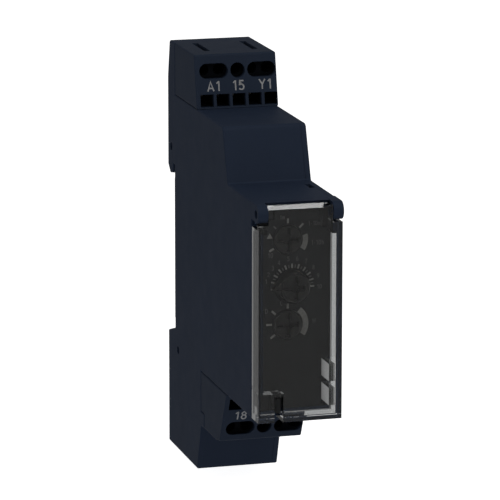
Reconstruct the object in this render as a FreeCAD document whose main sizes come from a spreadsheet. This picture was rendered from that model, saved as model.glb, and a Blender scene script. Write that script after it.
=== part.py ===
import FreeCAD, Part
import math
import os
import Sketcher

# DIN rail timer, one 17.5 mm module.
# Frame: X to the right, the front faces -Y, Z up. The origin is on the rail seat, half way
# across the width and at the middle of the rail. Outlines are written as (forward, up):
# millimetres forward of the rear face and up from the bottom face.

doc = FreeCAD.newDocument("din_rail_timer")
sheet = doc.addObject("Spreadsheet::Sheet", "Dims")


class Size:
    """A length in millimetres together with the sheet expression that gives it."""

    def __init__(self, value, text):
        self.value = float(value)
        self.text = text

    @staticmethod
    def of(other):
        if isinstance(other, Size):
            return other
        return Size(other, "(%s)" % round(float(other), 6))

    def _join(self, other, sign, value):
        return Size(value, "(%s %s %s)" % (self.text, sign, Size.of(other).text))

    def __add__(self, other):
        return self._join(other, "+", self.value + Size.of(other).value)

    def __sub__(self, other):
        return self._join(other, "-", self.value - Size.of(other).value)

    def __mul__(self, other):
        return self._join(other, "*", self.value * Size.of(other).value)

    def __truediv__(self, other):
        return self._join(other, "/", self.value / Size.of(other).value)

    def __radd__(self, other):
        return Size.of(other) + self

    def __rsub__(self, other):
        return Size.of(other) - self

    def __rmul__(self, other):
        return Size.of(other) * self

    def __neg__(self):
        return Size.of(0) - self


row_count = 0


def cell(alias, value, meaning):
    """One driving dimension: a line of the sheet with its meaning, value and alias."""
    global row_count
    row_count += 1
    sheet.set("A%d" % row_count, meaning)
    sheet.set("B%d" % row_count, str(value))
    sheet.setAlias("B%d" % row_count, alias)
    return Size(value, "Dims." + alias)


# Module
width = cell("width", 17.9, "module width")
height = cell("height", 90, "overall height")
depth = cell("depth", 72, "rear face to the front of the clear cover")
wall = cell("wall", 1.2, "housing wall")
gap = cell("gap", 0.1, "gap at a sliding or snapped joint")
seam = cell("seam", 0.05, "seam between fixed mouldings")
rim = cell("rim", 0.35, "rounding of the module's flat sides")
socket_radius = cell("socket_radius", 0.88, "radius of the sockets for the side cover's pegs")
stake_radius = cell("stake_radius", 0.8, "radius of the side cover's pegs")
# Rail
rail_seat = cell("rail_seat", 5.5, "rear face to the rail seat")
rail_width = cell("rail_width", 35, "width of the rail")
rail_sheet = cell("rail_sheet", 1, "thickness of the rail's flange")
hook_up = cell("hook_up", 60.8, "tip of the fixed hook")
recess_low = cell("recess_low", 27, "lower ledge of the rail recess")
seat_low = cell("seat_low", 29.1, "lower end of the rail seat")
seat_high = cell("seat_high", 60.5, "upper end of the rail seat")
seat_relief = cell("seat_relief", 0.2, "how far the recess stands back beyond the seat's ends")
# Steps of the housing, forward and up
foot_front = cell("foot_front", 24.3, "foot's front at the bottom")
step_front = cell("step_front", 27.9, "foot's front at the lower step")
step_up = cell("step_up", 10.5, "height of the lower step")
low_block_rear = cell("low_block_rear", 27.5, "rear seam of the lower terminal block")
low_block_toe = cell("low_block_toe", 30.1, "rear of the lower block's toe")
low_block_heel = cell("low_block_heel", 13.65, "height of the jog in that seam")
low_face_bottom = cell("low_face_bottom", 42.7, "lower terminal face, bottom edge forward")
low_face_base = cell("low_face_base", 11.1, "lower terminal face, bottom edge up")
low_face_top = cell("low_face_top", 48.3, "lower terminal face, top edge forward")
front_low = cell("front_low", 22.5, "underside of the front tier")
front_high = cell("front_high", 67.5, "top of the front tier")
panel_front = cell("panel_front", 67, "front of the faceplate")
mid_face_bottom = cell("mid_face_bottom", 49.3, "middle tier face, bottom edge forward")
mid_face_top = cell("mid_face_top", 45.2, "middle tier face, top edge forward")
mid_high = cell("mid_high", 78.7, "top of the middle tier")
top_block_rear = cell("top_block_rear", 6.2, "rear seam of the upper terminal block")
top_face_bottom = cell("top_face_bottom", 24.8, "upper terminal face, bottom edge forward")
top_face_top = cell("top_face_top", 22.3, "upper terminal face, top edge forward")
back_bevel = cell("back_bevel", 1.6, "rear bevel at the top")
back_bevel_up = cell("back_bevel_up", 82, "where the rear bevel starts")
# Terminals
pole_first = cell("pole_first", -6.6, "first pole, across")
pole_pitch = cell("pole_pitch", 3.5, "pole pitch")
chamber = cell("chamber", 2.5, "width of a clamp's chamber")
wire_hole = cell("wire_hole", 1.25, "radius of a wire hole")
entry_radius = cell("entry_radius", 1.6, "radius of the funnel before the wire hole")
entry_inset = cell("entry_inset", 0.2, "how far a shared funnel's round ends stand in from its poles")
entry_depth = cell("entry_depth", 2.4, "depth of that funnel")
entry_lip = cell("entry_lip", 2.9, "length of the wire hole behind the funnel")
top_wire_up = cell("top_wire_up", 86.5, "height of the upper wire holes")
top_wire_face = cell("top_wire_face", 23, "upper terminal face at the wire holes, forward")
low_wire_up = cell("low_wire_up", 14.1, "height of the lower wire holes")
low_wire_face = cell("low_wire_face", 44.2, "lower terminal face at the wire holes, forward")
release_wide = cell("release_wide", 2.9, "width of a release hole")
release_tall = cell("release_tall", 2.65, "height of a release hole")
top_release_up = cell("top_release_up", 80.4, "height of the upper release holes")
low_release_up = cell("low_release_up", 20.05, "height of the lower release holes")
clamp_width = cell("clamp_width", 2.1, "width of a clamp spring")
clamp_sheet = cell("clamp_sheet", 0.3, "thickness of a clamp spring")
bar_sheet = cell("bar_sheet", 0.6, "thickness of a contact bar")
tongue_up = cell("tongue_up", 88.65, "top of the upper contact bars' tongues")
tongue_low = cell("tongue_low", 11.95, "bottom of the lower contact bars' tongues")
# Cover and its hinge
hinge_forward = cell("hinge_forward", 70.5, "hinge axis forward")
hinge_up = cell("hinge_up", 65.6, "hinge axis up")
hinge_way = cell("hinge_way", 2.2, "radius of the round recess behind the hinge")
peg_radius = cell("peg_radius", 0.87, "radius of the cover's pegs")
peg_clearance = cell("peg_clearance", 0.06, "running clearance round a peg")
ear_width = cell("ear_width", 2.1, "width of a hinge ear")
cover_skin = cell("cover_skin", 1.0, "thickness of the cover's front")
cover_side = cell("cover_side", 1.15, "thickness of the cover's sides")
skirt_inset = cell("skirt_inset", 0.15, "how far the cover's sides stand in from the module's")
cover_top = cell("cover_top", 63.4, "top edge of the cover below the hinge ears")
crest_up = cell("crest_up", 67.4, "top edge of the cover between the ears")
crest_bevel = cell("crest_bevel", 0.9, "bevel along that edge")
boss_rear = cell("boss_rear", 68.2, "rear of the solid boss round the sealing notch, forward")
boss_high = cell("boss_high", 28.3, "top of that boss")
notch_wide = cell("notch_wide", 1.8, "width of the sealing notch")
arm_rear = cell("arm_rear", 69.3, "rear of the cover's two hinge arms, forward")
arm_top = cell("arm_top", 66.9, "top of the hinge arms")
left_arm_right = cell("left_arm_right", -5.3, "inner face of the left hinge arm")
right_arm_left = cell("right_arm_left", 4.8, "inner face of the right hinge arm")
gusset_left = cell("gusset_left", 6.8, "left end of the gusset's bottom, across")
gusset_low = cell("gusset_low", 61.0, "bottom of the gusset in the upper right corner")
gusset_high = cell("gusset_high", 63.8, "where the gusset's slope meets the right arm")
# Front controls
selector_radius = cell("selector_radius", 3.0, "radius of the two selectors")
selector_across = cell("selector_across", -1.35, "centre of the two selectors, across")
range_up = cell("range_up", 59.3, "centre of the range selector, up")
function_up = cell("function_up", 41.7, "centre of the function selector, up")
dial_radius = cell("dial_radius", 3.1, "radius of the time dial")
dial_across = cell("dial_across", -0.35, "centre of the time dial, across")
dial_up = cell("dial_up", 49.7, "centre of the time dial, up")
pointer_reach = cell("pointer_reach", 4.6, "tip of the dial's pointer from its axis")
shaft_radius = cell("shaft_radius", 1.5, "radius of the knobs' shafts")
shaft_rear = cell("shaft_rear", 59.6, "rear end of the knobs' shafts, forward")
flange_back = cell("flange_back", 3, "rear of a knob's flange behind the panel's front")
guide_left = cell("guide_left", 6.3, "left face of the light guides")
guide_right = cell("guide_right", 7.55, "right face of the light guides")
guide_tall = cell("guide_tall", 3.6, "height of the light guides")
guide_gap = cell("guide_gap", 0.45, "gap round a light guide in its window")
guide_front = cell("guide_front", 70.85, "front of the light guides, forward")
tab_across = cell("tab_across", -4.5, "centre of the sealing tab, across")
tab_top = cell("tab_top", 27.5, "top of the sealing tab")
board_sheet = cell("board_sheet", 1.2, "thickness of a circuit board")
front_board_at = cell("front_board_at", 58, "rear of the front board, forward")
main_board_at = cell("main_board_at", -6.9, "left face of the main board, across")
# Relay
relay_low = cell("relay_low", 40, "bottom of the relay")
relay_high = cell("relay_high", 69, "top of the relay")
relay_rear = cell("relay_rear", 11, "rear of the relay")
relay_front = cell("relay_front", 28, "front of the relay")
# Latch spring
spring_radius = cell("spring_radius", 0.95, "coil radius of the latch spring")
spring_wire = cell("spring_wire", 0.2, "wire radius of the latch spring")
spring_pitch = cell("spring_pitch", 1.0, "pitch of the latch spring")
spring_tall = cell("spring_tall", 8.6, "height of the latch spring")
spring_foot = cell("spring_foot", 7.95, "lower end of the latch spring")
spring_at = cell("spring_at", 2.9, "axis of the latch spring, forward")

doc.recompute()

half = width / 2
left = -half
split = half - wall          # the plane where the side cover meets the housing
window_high = front_high - 1.5                   # top of the front tier's window, where the brow starts
hook_root = (height + rail_width) / 2 + 0.7      # top of the slot behind the hook
panel_rear = panel_front - wall
flange_rear = panel_front - flange_back
SIDE_COVER_PEGS = ((2.9, 66.8), (8.3, 22.5))      # forward, up


def y_of(forward):
    return rail_seat - forward


def z_of(up):
    return Size.of(up) - height / 2


def bind(thing, path, size):
    thing.setExpression(path, Size.of(size).text)


def place(thing, x, y, z):
    for path, size in (("x", x), ("y", y), ("z", z)):
        bind(thing, "Placement.Base." + path, size)


def block(name, x, forward, up):
    """A box between pairs of limits across, forward and up."""
    x0, x1 = [Size.of(v) for v in x]
    f0, f1 = [Size.of(v) for v in forward]
    u0, u1 = [Size.of(v) for v in up]
    thing = doc.addObject("Part::Box", name)
    bind(thing, "Length", x1 - x0)
    bind(thing, "Width", f1 - f0)
    bind(thing, "Height", u1 - u0)
    place(thing, x0, y_of(f1), z_of(u0))
    return thing


TURNS = {
    "x": FreeCAD.Rotation(FreeCAD.Vector(0, 1, 0), 90),
    "forward": FreeCAD.Rotation(FreeCAD.Vector(1, 0, 0), 90),
    "up": FreeCAD.Rotation(),
}


def rod(name, along, x, forward, up, radius, length):
    """A cylinder that starts at a point and runs along x, forward or up."""
    thing = doc.addObject("Part::Cylinder", name)
    bind(thing, "Radius", radius)
    bind(thing, "Height", length)
    thing.Placement = FreeCAD.Placement(FreeCAD.Vector(0, 0, 0), TURNS[along])
    place(thing, x, y_of(forward), z_of(up))
    return thing


def fuse(name, pieces):
    joined = doc.addObject("Part::MultiFuse", name)
    joined.Shapes = pieces
    joined.Refine = True
    return joined


def cut(name, stock, tools):
    done = doc.addObject("Part::Cut", name)
    done.Base = stock
    done.Tool = tools[0] if len(tools) == 1 else fuse(name + "_tools", tools)
    done.Refine = True
    return done


def origin_plane(body, role):
    for feature in body.Origin.OriginFeatures:
        if feature.Role == role:
            return feature
    raise RuntimeError("no " + role)


def padded_outline(name, plane, offset, corners, length):
    """A body whose pad starts at an offset from a plane; corners are (sideways, up) pairs in it."""
    body = doc.addObject("PartDesign::Body", name)
    sketch = body.newObject("Sketcher::SketchObject", name + "_outline")
    sketch.AttachmentSupport = [(origin_plane(body, plane), "")]
    sketch.MapMode = "FlatFace"
    bind(sketch, "AttachmentOffset.Base.z", offset)
    points = [FreeCAD.Vector(a.value, b.value, 0) for a, b in corners]
    for start, end in zip(points, points[1:] + points[:1]):
        sketch.addGeometry(Part.LineSegment(start, end))
    for n in range(len(points)):
        sketch.addConstraint(Sketcher.Constraint("Coincident", n, 2, (n + 1) % len(points), 1))
    for n, corner in enumerate(corners):
        for kind, size in zip(("DistanceX", "DistanceY"), corner):
            index = sketch.addConstraint(Sketcher.Constraint(kind, n, 1, size.value))
            bind(sketch, "Constraints[%d]" % index, size)
    pad = body.newObject("PartDesign::Pad", name + "_pad")
    pad.Profile = sketch
    bind(pad, "Length", length)
    doc.recompute()
    return body


def profile(name, outline, x, rounds=()):
    """A body with the given side view, padded between two limits across.

    outline holds (forward, up) corners; rounds holds (radius, [corner numbers])."""
    x0, x1 = [Size.of(v) for v in x]
    corners = [(y_of(f), z_of(u)) for f, u in outline]
    body = padded_outline(name, "YZ_Plane", x0, corners, x1 - x0)
    last = body.Tip
    for radius, numbers in rounds:
        names = []
        for number in numbers:
            a, b = corners[number]
            for index, edge in enumerate(last.Shape.Edges):
                ends = [v.Point for v in edge.Vertexes]
                if len(ends) == 2 and all(abs(p.y - a.value) + abs(p.z - b.value) < 1e-4 for p in ends):
                    names.append("Edge%d" % (index + 1))
        fillet = body.newObject("PartDesign::Fillet", "%s_round%d" % (name, numbers[0]))
        fillet.Base = (last, names)
        bind(fillet, "Radius", radius)
        doc.recompute()
        last = fillet
    return body


def soften_side(body, name, x, radius):
    """Rounds the rim of a body's flat side face at one place across."""
    last = body.Tip
    names = []
    for index, edge in enumerate(last.Shape.Edges):
        box = edge.BoundBox
        if abs(box.XMin - x.value) < 1e-4 and abs(box.XMax - x.value) < 1e-4:
            names.append("Edge%d" % (index + 1))
    fillet = body.newObject("PartDesign::Fillet", name)
    fillet.Base = (last, names)
    bind(fillet, "Radius", radius)
    doc.recompute()


nodes = []


def node(name, thing):
    """Names a finished sub-part; its label is its file's name."""
    thing.Label = name
    nodes.append(thing)
    return thing


# ---- Housing -------------------------------------------------------------------------

HOUSING = [
    (0, 0), (foot_front, 0), (step_front, step_up), (low_block_toe, step_up),
    (low_block_toe, low_block_heel), (low_block_rear, low_block_heel),
    (low_block_rear, front_low), (panel_front, front_low), (panel_front, front_high),
    (mid_face_bottom, front_high), (mid_face_top, mid_high), (top_block_rear, mid_high),
    (top_block_rear, height), (back_bevel, height), (0, back_bevel_up),
    (0, hook_up + 1.7), (1.9, hook_up), (rail_seat - rail_sheet - 0.4, hook_up + 0.4),
    (rail_seat - rail_sheet - gap * 2, hook_root), (rail_seat + seat_relief, hook_root),
    (rail_seat + seat_relief, seat_high), (rail_seat, seat_high), (rail_seat, seat_low),
    (rail_seat + seat_relief, seat_low), (rail_seat + seat_relief, recess_low), (0, recess_low - 1.7),
]
CORNER_ROUNDS = ((1.2, [10]), (0.6, [9, 13, 14]), (0.4, [0, 1, 2, 7]))


def housing_slab(name, x):
    return profile(name, HOUSING, x, CORNER_ROUNDS)


def ear(name, x, wall_x):
    """A hinge ear in front of the faceplate, rounded round the hinge axis and tied to its wall."""
    x0, x1 = x
    root = block(name + "_root", x, (panel_front + seam, hinge_forward), (hinge_up - 1.6, front_high))
    tie = block(name + "_tie", wall_x, (panel_front - wall, hinge_forward), (hinge_up - 1.6, front_high))
    nose = rod(name + "_nose", "x", x0, hinge_forward, hinge_up, front_high - hinge_up, x1 - x0)
    return [root, tie, nose]


def peg_hole(name, x, length):
    return rod(name, "x", x, hinge_forward, hinge_up, peg_radius + peg_clearance, length)


def build_main_housing():
    body = housing_slab("housing_stock", (left, split - seam))
    soften_side(body, "housing_left_rim", left, rim)
    room = profile("housing_room", [
        (5.8 + wall, 1.2), (23.4, 1.2), (26.7, 11.7), (31, 11.7), (31, front_low + wall),
        (panel_front - wall, front_low + wall), (panel_front - wall, front_high - wall),
        (48.4, front_high - wall), (44.3, mid_high - wall), (23.6, mid_high - wall), (23.6, 79.5),
        (5, 79.5), (5, 88.8), (2.9, 88.8), (1.3, 81.5), (1.3, 64.8),
        (rail_seat + wall, 64.8), (rail_seat + wall, 25.8), (5.8 + wall, 25.6),
    ], (left + wall, half))
    window = block("housing_window", (left + wall, half), (panel_front - 2 * wall, panel_front + 1),
                   (front_low + 1.6, window_high))
    latch_way = block("housing_latch_way", (-4.3, 4.3), (1.2, 4.4), (-1, 28))
    latch_mouth = block("housing_latch_mouth", (-3.3, 3.3), (-1, 1.3), (-1, 28))
    vent = block("housing_vent", (6.3, 7.45), (53, 57), (front_high - 2 * wall, front_high + 1))
    holes = []
    for n, (forward, up) in enumerate(SIDE_COVER_PEGS):
        holes.append(rod("housing_peg_hole%d" % n, "x", left - 1, forward, up, socket_radius, width))
    hollow = cut("housing_hollow", body, [room, window, latch_way, latch_mouth, vent])
    anchor = block("housing_spring_anchor", (-0.9, 0.9), (2.0, 4.5), (6.6, 7.6))
    brow = block("housing_brow", (left, split - seam - 0.7), (panel_front - 0.02, hinge_forward - 1.1),
                 (window_high, front_high))
    whole = fuse("housing_whole", [hollow, anchor, brow] + ear("housing_ear", (left, left + ear_width),
                                                                  (left, left + wall)))
    sweep = rod("housing_hinge_way", "x", left + ear_width, hinge_forward, hinge_up,
                hinge_way, width - 2 * ear_width + 0.1)
    right_trim = block("housing_right_trim", (half - ear_width - 0.1, half), (panel_front, depth + 1),
                       (hinge_up - 3, front_high + 1))
    peg = peg_hole("housing_hinge_hole", left - 1, ear_width + 1.5)
    return cut("main_housing_part", whole, [sweep, right_trim, peg] + holes)


def build_side_cover():
    body = housing_slab("side_cover_stock", (split, half))
    soften_side(body, "side_cover_rim", half, rim)
    pegs = []
    for n, (forward, up) in enumerate(SIDE_COVER_PEGS):
        pegs.append(rod("side_cover_peg%d" % n, "x", left + 0.8, forward, up, stake_radius,
                        width - wall - 0.7))
    whole = fuse("side_cover_whole", [body] + pegs + ear("side_cover_ear", (half - ear_width, half),
                                                                (split, half)))
    peg = peg_hole("side_cover_hinge_hole", half - ear_width - 0.5, ear_width + 1.5)
    return cut("side_cover_part", whole, [peg])


node("main_housing", build_main_housing())
node("side_cover", build_side_cover())


# ---- Terminal blocks -----------------------------------------------------------------

def pole(number):
    return pole_first + pole_pitch * number


ENTRIES = ((0, 1), (2, 2), (3, 4))      # the poles that share one funnel and one contact bar


OPEN_AIR = 9       # how far a tool that opens a terminal face runs out past it


def chamber_front(face):
    return face - entry_depth - entry_lip


def entry_tools(name, wire_up, face):
    """The funnels and wire holes that open a terminal face."""
    tools = []
    for first, last in ENTRIES:
        label = "%s_entry%d" % (name, first)
        centres = [pole(first)]
        if first != last:
            centres = [pole(first) + entry_inset, pole(last) - entry_inset]
        for n, across in enumerate(centres):
            tools.append(rod("%s_end%d" % (label, n), "forward", across, face - entry_depth, wire_up,
                             entry_radius, entry_depth + OPEN_AIR))
        if first != last:
            tools.append(block(label + "_middle", tuple(centres),
                               (face - entry_depth, face + OPEN_AIR),
                               (wire_up - entry_radius, wire_up + entry_radius)))
    for n in range(5):
        tools.append(rod("%s_wire%d" % (name, n), "forward", pole(n), chamber_front(face) - 0.5, wire_up,
                         wire_hole, entry_depth + entry_lip + OPEN_AIR))
    return tools


def release_tools(name, release_up, face):
    side = release_wide / 2
    rise = release_tall / 2
    return [block("%s_release%d" % (name, n), (pole(n) - side, pole(n) + side),
                  (chamber_front(face) - 0.5, face + OPEN_AIR), (release_up - rise, release_up + rise))
            for n in range(5)]


def chamber_tools(name, rear, front, low, high):
    return [block("%s_chamber%d" % (name, n), (pole(n) - chamber / 2, pole(n) + chamber / 2),
                  (rear, front), (low, high)) for n in range(5)]


def channel_tools(name, rear, front, low, high):
    return [block("%s_channel%d" % (name, first), (pole(first) - chamber / 2, pole(last) + chamber / 2),
                  (rear, front), (low, high)) for first, last in ENTRIES]


def build_upper_block():
    body = profile("upper_block_stock", [
        (top_block_rear + seam, mid_high + seam), (top_face_bottom, mid_high + seam),
        (top_face_top, height), (top_block_rear + seam, height),
    ], (left, half), ((0.5, [2]),))
    soften_side(body, "upper_block_left_rim", left, rim)
    soften_side(body, "upper_block_right_rim", half, rim)
    tools = entry_tools("upper", top_wire_up, top_wire_face)
    tools += release_tools("upper", top_release_up, top_wire_face)
    tools += chamber_tools("upper", 9, chamber_front(top_wire_face), 79.4, 88.7)
    tools += channel_tools("upper", 7.4, 9.1, 78, 88.7)
    for first, last in (ENTRIES[0], ENTRIES[2]):
        middle = (pole(first) + pole(last)) / 2
        tools.append(block("upper_slit%d" % first, (middle - 0.65, middle + 0.65), (7.5, 18), (89.0, 91)))
    for n, (across, rear) in enumerate(((-0.1, 11.2), (3.5, 15.2))):
        tools.append(block("upper_foot_way%d" % n, (across - 0.8, across + 2.2), (rear, rear + 1.8),
                           (78, 79.6)))
    return cut("upper_block_part", body, tools)


def build_lower_block():
    body = profile("lower_block_stock", [
        (low_block_rear + seam, front_low - seam), (low_face_top, front_low - seam),
        (low_face_bottom, low_face_base), (low_face_bottom - 3, step_up + seam),
        (low_block_toe + seam, step_up + seam), (low_block_toe + seam, low_block_heel + seam),
        (low_block_rear + seam, low_block_heel + seam),
    ], (left, half), ((0.5, [2]),))
    soften_side(body, "lower_block_left_rim", left, rim)
    soften_side(body, "lower_block_right_rim", half, rim)
    tools = entry_tools("lower", low_wire_up, low_wire_face)
    tools += release_tools("lower", low_release_up, low_wire_face)
    tools += chamber_tools("lower", 31.5, chamber_front(low_wire_face), 11.9, 21.5)
    tools += channel_tools("lower_sill", 31.5, 32.4, 11.9, 21.5)
    tools += channel_tools("lower_back", 26, 31.6, 14.6, 21.5)
    return cut("lower_block_part", body, tools)


node("upper_terminal_block", build_upper_block())
node("lower_terminal_block", build_lower_block())


def clamp_outline(front, reach, foot, tip, side):
    """A bent leaf: a foot, a turn at the front and a leg towards the bar; side is 1 up, -1 down."""
    thick = clamp_sheet
    return [
        (front - reach, foot), (front - 0.7, foot),
        (front, foot + 0.55 * side), (front, foot + 1.15 * side),
        (front - reach + 0.6, tip), (front - reach + 0.2, tip), (front - reach + 0.2, tip - 0.25 * side),
        (front - thick, foot + 1.05 * side), (front - thick, foot + 0.65 * side),
        (front - 0.85, foot + thick * side), (front - reach, foot + thick * side),
    ]


def build_clamps(names, outline):
    for n, name in enumerate(names):
        x = (pole(n) - clamp_width / 2, pole(n) + clamp_width / 2)
        node(name, profile(name + "_leaf", outline, x))


build_clamps(("clamp_a1_left", "clamp_a1_right", "clamp_15", "clamp_y1_left", "clamp_y1_right"),
             clamp_outline(chamber_front(top_wire_face) - 0.8, 6.6, Size.of(79.5), tongue_up - 0.8, 1))
build_clamps(("clamp_18_left", "clamp_18_right", "clamp_16", "clamp_a2_left", "clamp_a2_right"),
             clamp_outline(chamber_front(low_wire_face) - 0.6, 5.6, Size.of(21.4), tongue_low + 0.8, -1))

board_face = main_board_at + board_sheet + seam


def build_upper_bar(name, first, last, foot_rear):
    """Tongues over the wires, a plate behind them and a foot that reaches the main board."""
    edge = clamp_width / 2
    stem = edge - 0.2
    pieces = [block("%s_tongue%d" % (name, n), (pole(n) - edge, pole(n) + edge),
                    (8, chamber_front(top_wire_face) - 0.4), (tongue_up - bar_sheet, tongue_up))
              for n in sorted({first, last})]
    pieces.append(block(name + "_plate", (pole(first) - edge, pole(last) + edge), (8, 8 + bar_sheet),
                        (80, tongue_up)))
    pieces.append(block(name + "_stem", (pole(first) - stem, pole(first) + edge), (8, 8 + bar_sheet),
                        (76.8, 80)))
    pieces.append(block(name + "_run", (pole(first) - stem, pole(first) + edge), (8, foot_rear + 1.6),
                        (76.8, 76.8 + bar_sheet)))
    pieces.append(block(name + "_arm", (board_face, pole(first) + edge), (foot_rear, foot_rear + 1.6),
                        (76.8, 76.8 + bar_sheet)))
    pieces.append(block(name + "_foot", (board_face, board_face + bar_sheet), (foot_rear, foot_rear + 1.6),
                        (71, 76.8 + bar_sheet)))
    return fuse(name + "_bar", pieces)


def build_lower_bar(name, first, last, foot_rear):
    """The same below: tongues under the wires and a path back and up to the main board."""
    edge = clamp_width / 2
    stem = edge - 0.2
    pieces = [block("%s_tongue%d" % (name, n), (pole(n) - edge, pole(n) + edge),
                    (31.6, chamber_front(low_wire_face) - 0.4), (tongue_low, tongue_low + bar_sheet))
              for n in sorted({first, last})]
    pieces.append(block(name + "_plate", (pole(first) - edge, pole(last) + edge), (31.6, 31.6 + bar_sheet),
                        (tongue_low, 16)))
    pieces.append(block(name + "_run", (pole(first) - stem, pole(first) + edge), (foot_rear, 32.2),
                        (15.4, 15.4 + bar_sheet)))
    pieces.append(block(name + "_rise", (pole(first) - stem, pole(first) + edge),
                        (foot_rear, foot_rear + bar_sheet), (15.4, 26)))
    pieces.append(block(name + "_arm", (board_face, pole(first) + edge), (foot_rear, foot_rear + 1.6),
                        (25.4, 26)))
    pieces.append(block(name + "_foot", (board_face, board_face + bar_sheet), (foot_rear, foot_rear + 1.6),
                        (25.4, 31)))
    return fuse(name + "_bar", pieces)


for name, (first, last), upper_foot in zip(("contact_bar_a1", "contact_bar_15", "contact_bar_y1"),
                                           ENTRIES, (9.5, 12.5, 15.5)):
    node(name, build_upper_bar(name, first, last, upper_foot))
for name, (first, last), lower_foot in zip(("contact_bar_18", "contact_bar_16", "contact_bar_a2"),
                                           ENTRIES, (24.0, 20.5, 17.0)):
    node(name, build_lower_bar(name, first, last, lower_foot))


# ---- Front panel and its controls ------------------------------------------------------

CONTROLS = (          # name of the knob, name of what it turns, centre across, centre up, radius
    ("range_selector", "range_switch", selector_across, range_up, selector_radius),
    ("time_dial", "time_potentiometer", dial_across, dial_up, dial_radius),
    ("function_selector", "function_switch", selector_across, function_up, selector_radius),
)
GUIDES = (            # light guide, lamp behind it, centre up
    ("supply_light_guide", "supply_led", 32.0),
    ("output_light_guide", "output_led", 27.0),
)


def build_faceplate():
    plate_left = left + wall + gap
    plate_right = split - 3 * gap
    plate = block("faceplate_plate", (plate_left, plate_right), (panel_rear, panel_front),
                  (front_low + 1.7, window_high - gap))
    rims = [block("faceplate_rim%d" % n, x, (panel_rear - 2, panel_rear + 0.1), (30, 60))
            for n, x in enumerate(((plate_left, plate_left + 0.8), (plate_right - 0.6, plate_right)))]
    tab = block("faceplate_tab", (tab_across - 0.45, tab_across + 0.45), (panel_front - 0.1, depth - 0.3),
                (front_low + 1.9, tab_top))
    foot = block("faceplate_tab_foot", (tab_across - 0.8, tab_across + 0.8),
                 (panel_rear, panel_front + 0.4), (front_low + 1.7, tab_top + 0.4))
    whole = fuse("faceplate_whole", [plate, tab, foot] + rims)
    tools = [rod("faceplate_%s_hole" % name, "forward", x, panel_rear - 1, up, radius + gap * 1.2, 4)
             for name, _, x, up, radius in CONTROLS]
    tools.append(rod("faceplate_dial_recess", "forward", dial_across, panel_front - 0.4, dial_up,
                     dial_radius + 0.7, 2))
    for name, _, up in GUIDES:
        reach = guide_tall / 2 + guide_gap
        tools.append(block("faceplate_%s_window" % name, (guide_left - guide_gap, half),
                           (panel_rear - 3, panel_front + 1), (up - reach, up + reach)))
    tools.append(rod("faceplate_seal_hole", "x", tab_across - 2, depth - 1.6, 24.9, 0.55, 4))
    return cut("faceplate_part", whole, tools)


def cross_slots(name, x, up, front, long_arm, short_arm, arm_width, slot_depth):
    """A slot for a screwdriver: a long upright arm and a shorter level one."""
    return [
        block(name + "_upright", (x - arm_width / 2, x + arm_width / 2), (front - slot_depth, front + 1),
              (up - long_arm / 2, up + long_arm / 2)),
        block(name + "_level", (x - short_arm / 2, x + short_arm / 2), (front - slot_depth, front + 1),
              (up - arm_width / 2, up + arm_width / 2)),
        rod(name + "_centre", "forward", x, front - slot_depth - 0.4, up, 0.95, 4),
    ]


def chamfer_disc(name, x, up, rear, front, radius, bevel):
    """A disc with a bevelled front rim."""
    drum = rod(name + "_drum", "forward", x, rear, up, radius, front - bevel - rear)
    crown = doc.addObject("Part::Cone", name + "_crown")
    bind(crown, "Radius1", radius)
    bind(crown, "Radius2", radius - bevel)
    bind(crown, "Height", bevel)
    crown.Placement = FreeCAD.Placement(FreeCAD.Vector(0, 0, 0), TURNS["forward"])
    place(crown, x, y_of(front - bevel), z_of(up))
    return [drum, crown]


def build_selector(name, x, up):
    front = panel_front + 0.55
    head = chamfer_disc(name + "_head", x, up, flange_rear, front, selector_radius, Size.of(0.25))
    shaft = rod(name + "_shaft", "forward", x, shaft_rear, up, shaft_radius,
                flange_rear - shaft_rear + seam)
    whole = fuse(name + "_whole", head + [shaft])
    return cut(name + "_part", whole, cross_slots(name, x, up, front, 5.0, 4.4, 0.9, 1.4))


def build_dial(name, x, up):
    """The time dial: a round cap whose side runs out to a grooved pointer."""
    rear = panel_front + 0.15
    front = panel_front + 2.6
    cap = chamfer_disc(name + "_cap", x, up, rear, front, dial_radius, Size.of(0.35))
    neck = rod(name + "_neck", "forward", x, flange_rear, up, dial_radius - gap, rear - flange_rear + gap)
    shaft = rod(name + "_shaft", "forward", x, shaft_rear, up, shaft_radius,
                flange_rear - shaft_rear + seam)
    tangent = math.acos(dial_radius.value / pointer_reach.value)
    touch_across = x - dial_radius * math.cos(tangent)
    touch_up = dial_radius * math.sin(tangent)
    middle = z_of(up)
    tip = 0.25
    corners = [(touch_across, middle + touch_up), (x - pointer_reach, middle + tip),
               (x - pointer_reach, middle - tip), (touch_across, middle - touch_up)]
    pointer = padded_outline(name + "_pointer", "XZ_Plane", -y_of(rear), corners, front - rear - 0.2)
    whole = fuse(name + "_whole", cap + [neck, shaft, pointer])
    tools = cross_slots(name, x, up, front, 5.0, 3.9, 1.0, 1.5)
    tools.append(block(name + "_groove", (x - pointer_reach + 0.5, x), (front - 0.7, front + 1),
                       (up - 0.3, up + 0.3)))
    return cut(name + "_part", whole, tools)


def build_switch(name, x, up):
    """The body that a knob's shaft turns in."""
    case = block(name + "_case", (x - 3.4, x + 3.4), (front_board_at + board_sheet + seam, 63.4),
                 (up - 3.6, up + 3.6))
    return cut(name + "_part", case, [rod(name + "_bearing", "forward", x, shaft_rear - 0.2, up,
                                          shaft_radius + peg_clearance, 6)])


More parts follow.
